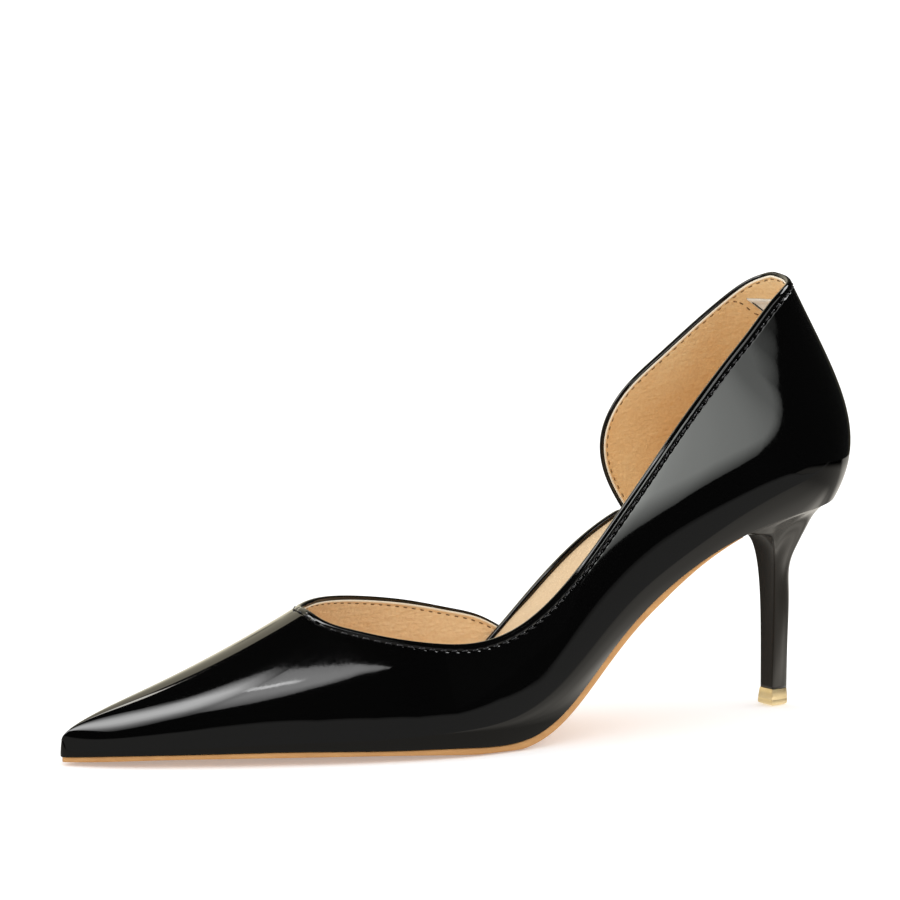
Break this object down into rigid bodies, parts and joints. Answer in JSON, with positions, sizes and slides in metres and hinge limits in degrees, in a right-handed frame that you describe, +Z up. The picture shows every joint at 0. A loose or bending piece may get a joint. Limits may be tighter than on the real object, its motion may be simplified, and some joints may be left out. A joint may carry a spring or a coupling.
{
  "type": "high heel shoe",
  "caption": "Black patent court shoe for the left foot with a pointed toe, a cut-out at the inner waist, tan lining and a slim heel on a gold-coloured tip.",
  "frame": {"origin": "middle of the footprint's bounding box, on the floor", "axes": "+X to the toe, +Y to the outer side of the left foot, +Z up"},
  "size_m": [0.2504, 0.0694, 0.1278],
  "materials": {
    "black_patent": "high gloss patent",
    "sole_caramel": "smooth satin",
    "black_wrap": "gloss wrapped edge",
    "tan_sock": "matte lining",
    "black_lacquer": "gloss covered",
    "gold_metal": "brushed gold colour"
  },
  "bodies": {
    "root": {"upper": "black_patent", "outsole": "sole_caramel", "insole": "black_wrap", "sock": "tan_sock", "heel": "black_lacquer", "top_piece": "gold_metal"}
  },
  "joints": []
}
